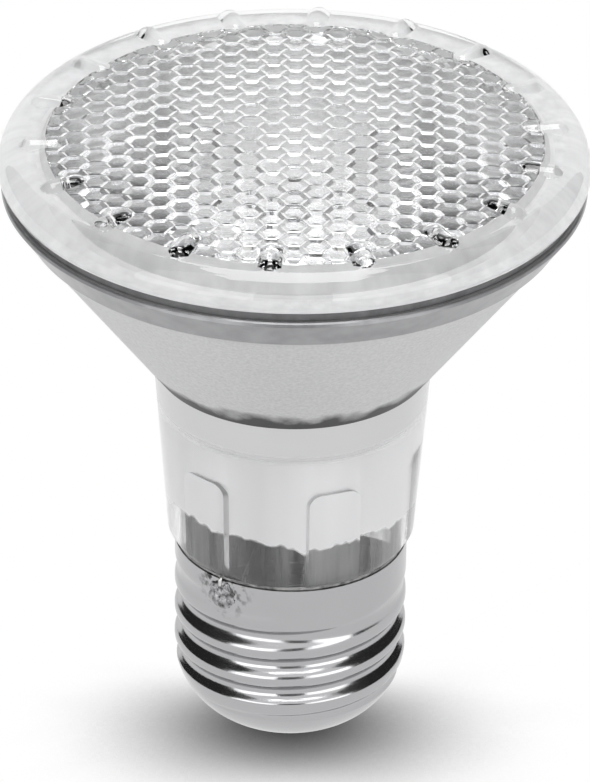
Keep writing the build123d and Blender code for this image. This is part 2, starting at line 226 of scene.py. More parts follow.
def streaks(tree, scale):
    """Noise drawn out along the lamp's axis, for runs and wipes in a bore and for painted shade in it."""
    squeeze = tree.nodes.new("ShaderNodeMapping")
    squeeze.inputs["Scale"].default_value = (1.0, 1.0, 0.07)
    join(tree, own_place(tree), squeeze.inputs["Vector"])
    return grain(tree, scale, 3.0, squeeze)


def bumps(tree, shader, texture, height, strength):
    """Raise the surface by the texture, height in metres."""
    bump = tree.nodes.new("ShaderNodeBump")
    bump.inputs["Distance"].default_value = height
    bump.inputs["Strength"].default_value = strength
    join(tree, texture, bump.inputs["Height"])
    join(tree, bump, shader.inputs["Normal"])


def spread(tree, source, low, high, socket=None, low_in=0.3, high_in=0.7):
    """Map values on to a range and feed it to a socket, if one is given."""
    ranged = tree.nodes.new("ShaderNodeMapRange")
    ranged.inputs["From Min"].default_value = low_in
    ranged.inputs["From Max"].default_value = high_in
    ranged.inputs["To Min"].default_value = low
    ranged.inputs["To Max"].default_value = high
    join(tree, source, ranged.inputs["Value"])
    join(tree, ranged, socket)
    return ranged


def tint(tree, source, dark, light, socket=None, low_in=0.3, high_in=0.7):
    """Colour a surface between two greys by a texture."""
    ramp = tree.nodes.new("ShaderNodeValToRGB")
    for stop, position, grey in zip(ramp.color_ramp.elements, (low_in, high_in), (dark, light)):
        stop.position = position
        stop.color = (*grey, 1)
    join(tree, source, ramp.inputs["Fac"])
    join(tree, ramp, socket)
    return ramp


def mixed(tree, mask, below, above, socket):
    """Blend two colours by a mask. The lower one may be a plain colour."""
    blend = tree.nodes.new("ShaderNodeMix")
    blend.data_type = "RGBA"
    join(tree, mask, blend.inputs["Factor"])
    if isinstance(below, tuple):
        blend.inputs["A"].default_value = below
    else:
        join(tree, below, blend.inputs["A"])
    join(tree, above, blend.inputs["B"])
    join(tree, blend.outputs["Result"], socket)


def height_mask(tree, start, end, wander, scale, runs=0.0):
    """0 below a height and 1 above it, with a ragged border and, if asked, long runs."""
    split = tree.nodes.new("ShaderNodeSeparateXYZ")
    join(tree, own_place(tree), split.inputs[0])
    border = combined(tree, "MULTIPLY_ADD", grain(tree, scale), wander, split.outputs["Z"])
    if runs:
        border = combined(tree, "MULTIPLY_ADD", streaks(tree, 260.0), runs, border)
    shift = (wander + runs) / 2
    return spread(tree, border, 0.0, 1.0, None, start + shift, end + shift)


def by_mask(tree, shader, mask, **values):
    """Give each named socket one value below a mask's border and another above it."""
    for socket, (below, above) in values.items():
        spread(tree, mask, below, above, shader.inputs[socket.replace("_", " ")], 0.0, 1.0)


# %% [markdown]
# Pressed glass is clear but never quite flat, because the mould leaves a faint ripple. Modelled
# waves would cost many faces, so the ripple is a bump of a few hundredths of a millimetre, and
# the colour stays near white. The joint face under the shoulder is ground, and so it is cloudy.

# %% Pressed glass
def pressed_glass():
    material, tree, shader = finish(
        "pressed_glass", Base_Color=(0.97, 0.975, 0.975, 1), Roughness=0.02, IOR=1.5, Transmission_Weight=1.0
    )
    bumps(tree, shader, grain(tree, 260.0, 3.0), 0.00006, 0.35)
    return material


def mottled(name, dark, light, scale, height, strength, detail=5.0, rough=None, **values):
    """A finish clouded between two greys, with bumps and, if asked, a range of roughness."""
    material, tree, shader = finish(name, **values)
    cloud = grain(tree, scale, detail)
    tint(tree, cloud, dark, light, shader.inputs["Base Color"])
    if rough:
        spread(tree, cloud, *rough, shader.inputs["Roughness"])
    bumps(tree, shader, cloud, height, strength)
    return material


glass = pressed_glass()
joint_face = mottled(
    "ground_joint", (0.7, 0.7, 0.7), (0.86, 0.86, 0.86), 500.0, 0.00004, 0.4, rough=(0.4, 0.7),
    IOR=1.5, Transmission_Weight=0.15,
)


# %% [markdown]
# The neck is the same glass, a little grey for its thickness. The aluminium that mirrors the bowl
# also reaches down its bore, and ends in a ragged line a few millimetres above the cap. The film
# could be a skin of its own. It is far thinner than any mesh, so it is a mask in the bore's
# material, which turns glass into metal above the line. Close under the bowl the glass is thick,
# and the film seems to lie on its outside, so the neck's own material turns to metal there.

# %% Neck glass and the film in its bore
FILM_END_Z = 30.0 * MM
FILM_BLUR = 0.15 * MM
FILM_RAGGED = 2.0 * MM
FILM_RUNS = 4.5 * MM
NECK_FILM_Z = 42.3 * MM
NECK_FILM_BLUR = 0.7 * MM


def neck_glass():
    material, tree, shader = finish(
        "neck_glass", Base_Color=(0.93, 0.93, 0.935, 1), Roughness=0.015, IOR=1.5, Transmission_Weight=1.0
    )
    filmed = height_mask(tree, NECK_FILM_Z - NECK_FILM_BLUR, NECK_FILM_Z + NECK_FILM_BLUR, 0.5 * MM, 150.0)
    by_mask(
        tree, shader, filmed,
        Transmission_Weight=(1.0, 0.0), Metallic=(0.0, 0.75), Roughness=(0.015, 0.34), Coat_Weight=(0.0, 1.0),
    )
    tint(tree, filmed, (0.93, 0.93, 0.935), (0.7, 0.7, 0.705), shader.inputs["Base Color"], 0.0, 1.0)
    bumps(tree, shader, grain(tree, 140.0, 2.0), 0.00008, 0.4)
    return material


def bore_film_and_shade():
    material, tree, shader = finish("bore_film_and_shade", IOR=1.5, Transmission_Weight=1.0)
    mask = height_mask(tree, FILM_END_Z - FILM_BLUR, FILM_END_Z + FILM_BLUR, FILM_RAGGED, 260.0, FILM_RUNS)
    by_mask(tree, shader, mask, Metallic=(0.0, 0.75), Roughness=(0.02, 0.3))
    # Bare glass below the film is coloured in dark streaks: painted shade of the neck's inside.
    bare_shade = tint(tree, streaks(tree, 210.0), (0.12, 0.12, 0.122), (0.8, 0.8, 0.805), None, 0.36, 0.6)
    film = tint(tree, streaks(tree, 90.0), (0.82, 0.82, 0.825), (0.95, 0.95, 0.955), None, 0.35, 0.6)
    mixed(tree, mask, bare_shade, film, shader.inputs["Base Color"])
    # Streaks below the film take some clearness, so their dark colour shows as painted shade; the film takes
    # all of it.
    shade_streaks = spread(tree, streaks(tree, 420.0), 0.35, 1.0, None, 0.42, 0.62)
    clear = tree.nodes.new("ShaderNodeMix")
    clear.inputs["B"].default_value = 0.0
    join(tree, mask, clear.inputs["Factor"])
    join(tree, shade_streaks, clear.inputs["A"])
    join(tree, clear, shader.inputs["Transmission Weight"])
    bumps(tree, shader, streaks(tree, 120.0), 0.0001, 0.5)
    return material


neck = neck_glass()
bore = bore_film_and_shade()


# %% [markdown]
# The bowl's outside is satin: etched glass over the aluminium film on its inside. It reads as a
# soft grey metal with a fine grain, so it is modelled as one satin surface. A dark stain creeps up
# from its foot, and the mirror inside is matt at about the same height. The flange's edge is
# ground, darker and smoother than the bowl.

# %% Satin bowl and mirror film
BURN_COLOUR = (0.04, 0.04, 0.042, 1)
BURN_FULL_Z = JUNCTION_Z + 1.1 * MM
BURN_END_Z = JUNCTION_Z + 2.9 * MM
BURN_RAGGED = 6.0 * MM
MATT_FULL_Z = JUNCTION_Z + 0.6 * MM
MATT_END_Z = JUNCTION_Z + 1.8 * MM


def satin_bowl():
    material, tree, shader = finish(
        "satin_bowl", Metallic=0.3, Roughness=0.5, Coat_Weight=0.15, Coat_Roughness=0.3
    )
    fine = grain(tree, 2600.0, 6.0)
    frost = tint(tree, fine, (0.58, 0.58, 0.585), (0.7, 0.7, 0.705))
    edge = height_mask(tree, BURN_FULL_Z, BURN_END_Z, BURN_RAGGED, 190.0)
    mixed(tree, edge, BURN_COLOUR, frost, shader.inputs["Base Color"])
    bumps(tree, shader, fine, 0.00003, 0.5)
    return material


def mirror_film():
    material, tree, shader = finish("mirror_film", Base_Color=(0.9, 0.9, 0.91, 1), Metallic=1.0)
    matt_foot = height_mask(tree, MATT_FULL_Z, MATT_END_Z, 0.8 * MM, 200.0)
    by_mask(tree, shader, matt_foot, Roughness=(0.62, 0.12), Metallic=(0.25, 1.0))
    bumps(tree, shader, grain(tree, 300.0, 3.0), 0.00008, 0.4)
    return material


satin = satin_bowl()
mirror = mirror_film()
flange = mottled(
    "ground_flange", (0.27, 0.27, 0.28), (0.36, 0.36, 0.37), 420.0, 0.00003, 0.5,
    Metallic=0.5, Roughness=0.3, Coat_Weight=0.3,
)


# %% [markdown]
# The cap is thin plated sheet, bright but handled. Soft clouds in the roughness and a very fine
# drawn grain keep it from looking like liquid metal. Flux from the soldering has spotted it round
# the side wire. The spots have no thickness, so they are colour: noise, fading with the distance.

# %% Plated sheet
PLATING = (0.5, 0.5, 0.51)
FLUX_REACH = 4.2 * MM
FLUX_CORE = 1.2 * MM


def plated_sheet():
    material, tree, shader = finish("plated_sheet", Base_Color=(*PLATING, 1), Metallic=1.0)
    spread(tree, grain(tree, 220.0, 5.0), 0.12, 0.24, shader.inputs["Roughness"])
    bumps(tree, shader, grain(tree, 1500.0), 0.00002, 0.35)
    away = tree.nodes.new("ShaderNodeVectorMath")
    away.operation = "DISTANCE"
    away.inputs[1].default_value = SOLDER_SPOT
    join(tree, own_place(tree), away.inputs[0])
    near = spread(tree, away.outputs["Value"], 0.0, 1.0, None, FLUX_REACH, FLUX_CORE)
    specks = spread(tree, grain(tree, 1100.0, 6.0), 0.0, 1.0, None, 0.5, 0.62)
    stained = combined(tree, "MULTIPLY", near, specks)
    tint(tree, stained, PLATING, (0.07, 0.07, 0.07), shader.inputs["Base Color"], 0.0, 0.8)
    return material


plated = plated_sheet()


# %% [markdown]
# The small pieces need two sorts of finish. Wires, foils, solder and the contact are dull metal,
# whose greys and roughness vary together. Cement, sleeving and the glass button are chalky.

# %% Small finishes
def dull_metal(name, dark, light, low, high, scale=900.0):
    return mottled(name, dark, light, scale, 0.00005, 0.5, rough=(low, high), Metallic=1.0)


def chalky(name, dark, light, scale, height, roughness=0.8):
    return mottled(name, dark, light, scale, height, 0.7, 8.0, Roughness=roughness)


solder_metal = dull_metal("soft_solder", (0.06, 0.06, 0.06), (0.7, 0.7, 0.72), 0.3, 0.6, 1300.0)
rim_dirt = chalky("rim_dirt", (0.1, 0.1, 0.1), (0.62, 0.62, 0.61), 900.0, 0.0001, 0.7)
wire_metal = dull_metal("plated_wire", (0.6, 0.6, 0.6), (0.78, 0.78, 0.77), 0.2, 0.35)
tungsten = dull_metal("drawn_tungsten", (0.16, 0.16, 0.17), (0.26, 0.26, 0.28), 0.35, 0.55)
contact_metal = dull_metal("plated_contact", (0.5, 0.48, 0.45), (0.66, 0.64, 0.6), 0.25, 0.45)
foil_metal = dull_metal("rolled_foil", (0.3, 0.3, 0.31), (0.45, 0.45, 0.46), 0.3, 0.5)
cement = chalky("ceramic_cement", (0.62, 0.61, 0.58), (0.8, 0.79, 0.76), 1400.0, 0.00012)
bead = chalky("bonding_bead", (0.66, 0.66, 0.665), (0.8, 0.8, 0.805), 700.0, 0.00008, 0.35)
# The bead's outward face is painted dark: painted shade of the gap between flange and lens.
bead_gap_shade = chalky("bead_gap_shade", (0.12, 0.12, 0.125), (0.2, 0.2, 0.205), 700.0, 0.00008, 0.45)
button = chalky("button_glass", (0.6, 0.6, 0.6), (0.72, 0.72, 0.71), 500.0, 0.00004, 0.3)
sleeving = chalky("glass_sleeving", (0.66, 0.65, 0.6), (0.85, 0.84, 0.8), 2600.0, 0.0001)
print("finishes", len(bpy.data.materials))


# %% [markdown]
# ## The screw cap
#
# The thread is rolled into thin sheet, so both faces follow it. It could be a swept groove cut
# from a cylinder. A grid that is bent point by point is better here: each point asks how far it
# lies from the middle of the nearest groove, and the groove can fade out gently, as rolled metal
# does, where a cut would end in a step.

# %% Screw cap
THREAD_PITCH = 3.629 * MM
THREAD_DEPTH = 0.95 * MM
THREAD_LAND = 0.24 * MM
THREAD_START_Z = 4.15 * MM
THREAD_TURNS = 3.9
FADE_IN_TURNS = 0.3
FADE_OUT_TURNS = 0.28
FADE_OUT_SHIFT = 0.14
RUN_OUT_TURNS = 1.0
RUN_OUT_FADE_TURNS = 0.4
RUN_OUT_DEPTH = 0.3 * MM
DOME_HEIGHT = 10.6 * MM
CAP_MOUTH_RADIUS = 7.0 * MM
CAP_MOUTH_Z = cap_low.z
SLEEVE_STEPS = 216


def dome_radius(height, wall):
    """The radius of the cap's round bottom at a height, one wall in from the outer face."""
    bend = ((CAP_RADIUS - CAP_MOUTH_RADIUS) ** 2 + (DOME_HEIGHT - CAP_MOUTH_Z) ** 2) / (
        2 * (CAP_RADIUS - CAP_MOUTH_RADIUS)
    )
    if height >= DOME_HEIGHT:
        return CAP_RADIUS - wall
    reach = (bend - wall) ** 2 - (DOME_HEIGHT - height) ** 2
    return CAP_RADIUS - bend + math.sqrt(max(reach, 0.0))


def groove_depth(offset, wall):
    """Depth of the rolled groove at an offset along the axis from its middle."""
    span = (THREAD_PITCH - THREAD_LAND) / 2
    slope = 2 * math.atan(THREAD_DEPTH / span)
    bend = span / math.sin(slope) / 2
    crest = bend - wall
    root = bend + wall
    turn_at = root * math.sin(slope)
    offset = abs(offset)
    if offset >= span:
        return 0.0
    if offset > turn_at:
        return crest - math.sqrt(max(crest**2 - (span - offset) ** 2, 0.0))
    return THREAD_DEPTH - (root - math.sqrt(max(root**2 - offset**2, 0.0)))


def eased(share):
    """0 to 1 with a soft start and end."""
    share = min(max(share, 0.0), 1.0)
    return share * share * (3 - 2 * share)


def cap_radius_at(angle, height, wall):
    """The sheet's radius, with the groove faded in at the bottom and out at the skirt."""
    turn = angle / (2 * math.pi)
    count = round((height - THREAD_START_Z) / THREAD_PITCH - turn)
    turns = turn + count
    offset = height - THREAD_START_Z - turns * THREAD_PITCH
    fade_in = eased(turns / FADE_IN_TURNS + 1)
    deep = eased((THREAD_TURNS - turns) / FADE_OUT_TURNS + FADE_OUT_SHIFT)
    run_out = eased((THREAD_TURNS + RUN_OUT_TURNS - turns) / RUN_OUT_FADE_TURNS)
    shallow = run_out * RUN_OUT_DEPTH / THREAD_DEPTH
    fade = fade_in * max(deep, shallow)
    plain = dome_radius(height, wall)
    rolled = CAP_RADIUS - wall - groove_depth(offset, wall) * fade
    return min(plain, rolled)


def sleeve(name, rows, spot, degrees, upward):
    """A closed double wall. spot gives radius and height for a wall, a share of the way, an angle."""
    points, faces = [], []
    for wall in (0, 1):
        for row in range(rows + 1):
            for i in range(SLEEVE_STEPS):
                angle = 2 * math.pi * i / SLEEVE_STEPS
                radius, height = spot(wall, row / rows, angle)
                points.append((radius * math.cos(angle), radius * math.sin(angle), height))
    last = rows * SLEEVE_STEPS
    layer = last + SLEEVE_STEPS
    neighbours = [(i, (i + 1) % SLEEVE_STEPS) for i in range(SLEEVE_STEPS)]
    for a in range(0, last, SLEEVE_STEPS):
        b = a + SLEEVE_STEPS
        for i, j in neighbours:
            faces.append((a + i, b + i, b + j, a + j))
            faces.append((layer + a + i, layer + a + j, layer + b + j, layer + b + i))
    for i, j in neighbours:
        faces.append((i, j, layer + j, layer + i))
        faces.append((last + j, last + i, layer + last + i, layer + last + j))
    if upward:
        faces = [(face[0], *face[:0:-1]) for face in faces]
    mesh = bpy.data.meshes.new(name)
    mesh.from_pydata(points, [], faces)
    mesh.validate()
    shade(mesh, degrees)
    return mesh


def cap_spot(wall, share, angle):
    """A point of the sheet, from the rim down to the mouth."""
    inset = SHEET * wall
    height = CAP_TOP_Z + (CAP_MOUTH_Z + inset * 0.6 - CAP_TOP_Z) * share
    return cap_radius_at(angle, height, inset), height


cap = put(sleeve("screw_cap", 132, cap_spot, 60, False), "cap_sheet", [plated], "screw_shell")
print("screw cap", len(cap.data.polygons), "faces")

# %% [markdown]
# Cement bonds the glass collar into the cap. It was soft when the cap went on, so its outside has
# the form of the sheet's inside, run-out and all. It is made from the same function, one clearance
# in, and the least room between the pieces is measured.

# %% Cap cement
cement_low, cement_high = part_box("cap_cement")
FIT = 0.03 * MM
room = []


def cement_spot(wall, share, angle):
    """A point of the cement, from its foot up. Its outside follows the rolled sheet."""
    height = cement_low.z + (cement_high.z - cement_low.z) * share
    inner = COLLAR_RADIUS + FIT
    if wall:
        return inner, height
    radius = cap_radius_at(angle, height, SHEET) - FIT
    room.append(radius - inner)
    return radius, height


put(sleeve("cap_bond", 24, cement_spot, 40, True), "cement", [cement], "cap_cement")
print("cement at its thinnest", round(min(room) / MM, 3), "mm")

# %% [markdown]
# ## The glass body
#
# The body is one pressing. It could be carved from a block, but it is turned from its section
# first. Then the recesses of the bore, the oblong hole for the capsule and the way of the side wire
# through the collar are cut with the Boolean modifier, which leaves clean closed glass.

# %% Glass body
def body_profile():
    points = [
        (COLLAR_RADIUS, COLLAR_Z),
        (COLLAR_RADIUS, BODY_FOOT_Z),
        (NECK_FOOT_RADIUS, BODY_FOOT_Z),
        (NECK_LOW_RADIUS, BODY_FOOT_Z + 1.25 * MM),
    ]
    points += [(NECK_TOP_RADIUS - 0.25 * MM, JUNCTION_Z - 3.1 * MM), (NECK_TOP_RADIUS, JUNCTION_Z)]
    steps = 12
    for i in range(1, steps):
        share = i / steps
        radius = NECK_TOP_RADIUS + (BOWL_RADIUS - NECK_TOP_RADIUS) * share
        points.append((radius, JUNCTION_Z + (BOWL_TOP_Z - JUNCTION_Z) * share))
    points += [
        (BOWL_RADIUS, BOWL_TOP_Z),
        (BOWL_RADIUS + 0.6 * MM, BOWL_TOP_Z + 0.35 * MM),
        (BOWL_RADIUS + 1.0 * MM, BOWL_TOP_Z + 1.0 * MM),
        (FLANGE_RADIUS, FLANGE_TOP_Z - 0.5 * MM),
        (FLANGE_RADIUS - 0.08 * MM, FLANGE_TOP_Z - 0.15 * MM),
        (FLANGE_RADIUS - 0.25 * MM, FLANGE_TOP_Z),
        (MOUTH_RADIUS + 0.2 * MM, FLANGE_TOP_Z),
        (MOUTH_RADIUS, FLANGE_TOP_Z - 0.15 * MM),
    ]
    steps = 40
    for i in range(1, steps + 1):
        radius = MOUTH_RADIUS + (FLOOR_RADIUS - MOUTH_RADIUS) * i / steps
        points.append((radius, VERTEX_Z + radius**2 / FOUR_FOCAL))
    points += [
        (1e-5, FLOOR_Z),
        (1e-5, FLOOR_Z - FLOOR_THICKNESS),
        (NECK_BORE - 1.0 * MM, FLOOR_Z - FLOOR_THICKNESS),
        (NECK_BORE - 0.3 * MM, FLOOR_Z - FLOOR_THICKNESS - 0.3 * MM),
        (NECK_BORE, FLOOR_Z - FLOOR_THICKNESS - 1.0 * MM),
        (NECK_BORE, COLLAR_Z),
    ]
    return points


def cutter(name, outline, depth, place):
    """A prism from a flat outline: pushed out along its own X, then placed."""
    work = bmesh.new()
    near = [work.verts.new(place((0.0, y, z))) for y, z in outline]
    far = [work.verts.new(place((depth, y, z))) for y, z in outline]
    work.faces.new(near)
    work.faces.new(far)
    for i in range(len(outline)):
        j = (i + 1) % len(outline)
        work.faces.new((near[i], near[j], far[j], far[i]))
    bmesh.ops.recalc_face_normals(work, faces=work.faces)
    return linked(name, mesh_of(work, name))


def cut(piece, tools):
    """Subtract each tool from the piece with the Boolean modifier, then drop the tools."""
    for tool in tools:
        modifier = piece.modifiers.new("cut", "BOOLEAN")
        modifier.operation = "DIFFERENCE"
        modifier.object = tool
    bpy.context.view_layer.update()
    result = bpy.data.meshes.new_from_object(piece.evaluated_get(bpy.context.evaluated_depsgraph_get()))
    piece.modifiers.clear()
    piece.data = result
    for tool in tools:
        bpy.data.objects.remove(tool)


def on_bearing(angle, start):
    """How to place a point: out along a bearing from a start radius, and across it."""
    def place(point):
        out = start + point[0]
        x = math.cos(angle) * out - math.sin(angle) * point[1]
        y = math.sin(angle) * out + math.cos(angle) * point[1]
        return (x, y, point[2])

    return place


RECESS_COUNT = 5
RECESS_WIDTH = 5.6 * MM
RECESS_DEPTH = 0.6 * MM
RECESS_CORNER = 1.4 * MM
RECESS_TOP_Z = 36.5 * MM
RECESS_ANGLE = math.radians(-67)
CUT_FROM_Z = COLLAR_Z - 1 * MM

body = put(turned("glass_body", body_profile(), 240), "body_glass", [], "reflector")
tools = []
half = RECESS_WIDTH / 2
recess_outline = [(-half, CUT_FROM_Z), (half, CUT_FROM_Z)]
recess_outline += arc((half - RECESS_CORNER, RECESS_TOP_Z - RECESS_CORNER), RECESS_CORNER, 0, 90, 8)
recess_outline += arc((-half + RECESS_CORNER, RECESS_TOP_Z - RECESS_CORNER), RECESS_CORNER, 90, 180, 8)
for i in range(RECESS_COUNT):
    place = on_bearing(RECESS_ANGLE + 2 * math.pi * i / RECESS_COUNT, NECK_BORE - 2 * RECESS_DEPTH)
    tools.append(cutter(f"recess_{i}", recess_outline, 3 * RECESS_DEPTH, place))

# %% [markdown]
# The capsule's pinch stands in an oblong hole in the floor. The side wire leaves the neck through
# a slot in the collar's foot, and a round notch leads it up the collar's outside to the cap's rim.
# Without that way the wire would run through solid glass.

# %% Hole, slot and notch
HOLE_HALF_LENGTH = 5.2 * MM
HOLE_HALF_WIDTH = 2.3 * MM
HOLE_CORNER = 1.4 * MM
WIRE_RADIUS = 0.22 * MM
SLOT_WIDTH = 1.2 * MM
SLOT_HEIGHT = 2.4 * MM
NOTCH_RADIUS = 0.42 * MM
WIRE_UP_RADIUS = (COLLAR_RADIUS + CAP_RADIUS - SHEET) / 2 - WIRE_RADIUS / 2

hole = []
for sign_x, sign_y, start in ((1, 1, 0), (-1, 1, 90), (-1, -1, 180), (1, -1, 270)):
    centre = (sign_x * (HOLE_HALF_LENGTH - HOLE_CORNER), sign_y * (HOLE_HALF_WIDTH - HOLE_CORNER))
    hole += arc(centre, HOLE_CORNER, start, start + 90, 6)
tools.append(
    cutter("capsule_hole", hole, 4 * MM, lambda point: (point[1], point[2], FLOOR_Z + 0.7 * MM - point[0]))
)
slot_from = NECK_BORE - 0.5 * MM
slot_top = COLLAR_Z + SLOT_HEIGHT
half = SLOT_WIDTH / 2
slot_outline = [(-half, CUT_FROM_Z), (half, CUT_FROM_Z), (half, slot_top), (-half, slot_top)]
slot_place = on_bearing(SOLDER_ANGLE, slot_from)
tools.append(cutter("wire_slot", slot_outline, WIRE_UP_RADIUS - slot_from, slot_place))
notch = arc(SOLDER_WAY * WIRE_UP_RADIUS, NOTCH_RADIUS, 0, 360, 24)[:-1]
notch_height = BODY_FOOT_Z + 0.02 * MM - CUT_FROM_Z
tools.append(
    cutter("wire_notch", notch, notch_height, lambda point: (point[1], point[2], CUT_FROM_Z + point[0]))
)
cut(body, tools)
print("glass body", len(body.data.polygons), "faces after cutting")


# %% [markdown]
# The pressing carries its finishes by place. The parabola is mirrored, the outside of the bowl is
# satin, the flange above it is ground, and the bore and the hole have the film. All other faces
# are clear. Separate pieces would show their seams, so each face picks its finish by where it lies.

# %% Finishes of the body
def paint_body():
    finishes = [neck, satin, mirror, flange, bore]
    for material in finishes:
        body.data.materials.append(material)
    floor_foot = FLOOR_Z - FLOOR_THICKNESS
    for face in body.data.polygons:
        x, y, z = face.center
        radius = math.hypot(x, y)
        outward = face.normal.x * x + face.normal.y * y > 0
        upright = abs(face.normal.z) < 0.3
        in_hole = floor_foot - 0.1 * MM < z < FLOOR_Z + 0.3 * MM and upright and radius < FLOOR_RADIUS
        material = neck
        if in_hole:
            material = bore
        elif z > FLOOR_Z - 0.1 * MM and not outward and radius < MOUTH_RADIUS:
            material = mirror
        elif outward and JUNCTION_Z - 0.1 * MM < z < BOWL_TOP_Z + 0.1 * MM:
            material = satin
        elif outward and z > BOWL_TOP_Z + 0.1 * MM:
            material = flange
        elif z < floor_foot + 0.1 * MM and radius < NECK_BORE + 2 * RECESS_DEPTH:
            material = bore
        face.material_index = finishes.index(material)
    shade(body.data, 28)


paint_body()

# %% [markdown]
# ## The lens
#
# The cover is also one pressing. Its outside is a heightfield on rings: dome, shoulder and the
# eighteen little studs that keep the hot face off whatever it is laid on. Its inside is a comb of
# small round lenses with six sides. They could be hundreds of separate pieces. A single triangle
# grid whose rows follow the comb is better, because every crease then falls on an edge.

# %% Lens outside
SHOULDER_RADIUS = 30.3 * MM
SHOULDER_Z = LENS_Z + 4.1 * MM
WINDOW_RADIUS = 27.4 * MM
WINDOW_Z = SHOULDER_Z + 0.2 * MM
LENS_TOP_Z = WINDOW_Z + 1.7 * MM
UNDERSIDE_Z = WINDOW_Z - 2.1 * MM
STUD_COUNT = 18
STUD_RADIUS = 1.35 * MM
STUD_PROUD = 0.9 * MM
STUD_LENGTH = 2.6 * MM
STUD_TIP_RADIUS = 29.0 * MM
STUD_ANGLE = math.radians(-95)
STUD_FILLET = 0.5 * MM
BELT_Z = LENS_Z + 1.0 * MM
SHOULDER_BEND = ((LENS_RADIUS - SHOULDER_RADIUS) ** 2 + (SHOULDER_Z - BELT_Z) ** 2) / (
    2 * (LENS_RADIUS - SHOULDER_RADIUS)
)
FINE_RINGS_TO = 24.9 * MM
COARSE_RINGS_FROM = 24.0 * MM


def shoulder_height_at(radius):
    """Height of the lens's outer face at a radius, without studs."""
    if radius <= WINDOW_RADIUS:
        rise = LENS_TOP_Z - WINDOW_Z
        bend = (WINDOW_RADIUS**2 + rise**2) / (2 * rise)
        return LENS_TOP_Z - bend + math.sqrt(bend**2 - radius**2)
    if radius <= SHOULDER_RADIUS:
        share = (radius - WINDOW_RADIUS) / (SHOULDER_RADIUS - WINDOW_RADIUS)
        return WINDOW_Z + (SHOULDER_Z - WINDOW_Z) * share
    return SHOULDER_Z


def stud_height(x, y):
    """Height of the nearest stud's round back over a point, or None away from studs."""
    angle = math.atan2(y, x)
    step = 2 * math.pi / STUD_COUNT
    nearest = STUD_ANGLE + round((angle - STUD_ANGLE) / step) * step
    along = x * math.cos(nearest) + y * math.sin(nearest)
    across = -x * math.sin(nearest) + y * math.cos(nearest)
    beyond = max(along - STUD_TIP_RADIUS, STUD_TIP_RADIUS - STUD_LENGTH - along, 0.0)
    reach = STUD_RADIUS**2 - across**2 - beyond**2
    if reach <= 0:
        return None
    return SHOULDER_Z + STUD_PROUD - STUD_RADIUS + math.sqrt(reach)


def blended(height, lifted):
    """The higher of shoulder and stud, with a small fillet where they meet."""
    if lifted is None:
        return height
    near = max(STUD_FILLET - abs(height - lifted), 0.0) / STUD_FILLET
    proud = min(max(lifted - SHOULDER_Z, 0.0) / STUD_FILLET, 1.0)
    return max(height, lifted) + near * near * STUD_FILLET / 4 * proud


def lens_rings():
    """(radius, height) rings of the outside, from the belt up over the shoulder to the middle."""
    rings = [(MOUTH_RADIUS, LENS_Z), (LENS_RADIUS - 0.5 * MM, LENS_Z)]
    rings += [(LENS_RADIUS - 0.2 * MM, LENS_Z + 0.1 * MM), (LENS_RADIUS, LENS_Z + 0.5 * MM)]
    top = math.degrees(math.asin((SHOULDER_Z - BELT_Z) / SHOULDER_BEND))
    rings += arc((LENS_RADIUS - SHOULDER_BEND, BELT_Z), SHOULDER_BEND, 0, top, 10)
    radius = SHOULDER_RADIUS - 0.2 * MM
    while radius > FINE_RINGS_TO:
        rings.append((radius, shoulder_height_at(radius)))
        radius -= 0.2 * MM
    radius = COARSE_RINGS_FROM
    while radius > 1 * MM:
        rings.append((radius, shoulder_height_at(radius)))
        radius -= 2.0 * MM
    return rings


# %% [markdown]
# Each small lens is a pillow with six sides. The grid's points are pushed down by how deep they
# lie in their cell: the flat middle falls least, and the border most. The lens is then closed by
# its ground joint face and an inner wall. Only the upper face is lifted to the studs, because a
# stud raised on the joint face as well would draw fins through the glass.

# %% Comb and closed lens
CELL_ACROSS = 2.77 * MM
CELL_HEIGHT = 0.36 * MM
CELL_FLAT = 0.66
CELL_BORDER_SHARE = 0.85


def cell_drop(x, y):
    """How far the nearest small lens stands below the plain underside: a six-sided pillow."""
    step = CELL_ACROSS * math.sqrt(3) / 2
    best = None
    column = round(x / step)
    for c in (column - 1, column, column + 1):
        shift = (c % 2) / 2
        row = round(y / CELL_ACROSS - shift)
        for r in (row - 1, row, row + 1):
            across, along = x - c * step, y - (r + shift) * CELL_ACROSS
            slant = abs(across) * math.sqrt(3) / 2 + abs(along) / 2
            reach = max(abs(along), slant) / (CELL_ACROSS / 2)
            if best is None or reach < best:
                best = reach
    fall = min(max((best - CELL_FLAT) / (1 - CELL_FLAT), 0.0), 1.0)
    return CELL_HEIGHT * (1 - CELL_BORDER_SHARE * fall - (1 - CELL_BORDER_SHARE) * min(best, 1.0) ** 2)


def comb_patch(work, per_side):
    """The triangle grid of the comb, clipped to the window."""
    spacing = CELL_ACROSS / math.sqrt(3) / per_side
    row_step = spacing * math.sqrt(3) / 2
    reach = WINDOW_RADIUS - 0.05 * MM
    count = int(reach / row_step) + 3
    grid = {}
    spots = {}
    for row in range(-count, count + 1):
        for column in range(-count, count + 1):
            x = column * spacing + row * spacing / 2
            y = row * row_step
            spots[(column, row)] = (x, y)

    def vertex(key):
        if key not in grid:
            x, y = spots[key]
            radius = math.hypot(x, y)
            if radius > reach:
                x, y = x * reach / radius, y * reach / radius
            height = UNDERSIDE_Z - cell_drop(x, y)
            if radius > reach:
                height = UNDERSIDE_Z
            grid[key] = work.verts.new((x, y, height))
        return grid[key]

    for row in range(-count, count):
        for column in range(-count, count):
            for keys in (
                ((column, row), (column, row + 1), (column + 1, row)),
                ((column + 1, row), (column, row + 1), (column + 1, row + 1)),
            ):
                if any(math.hypot(*spots[key]) < reach for key in keys):
                    work.faces.new([vertex(key) for key in keys])


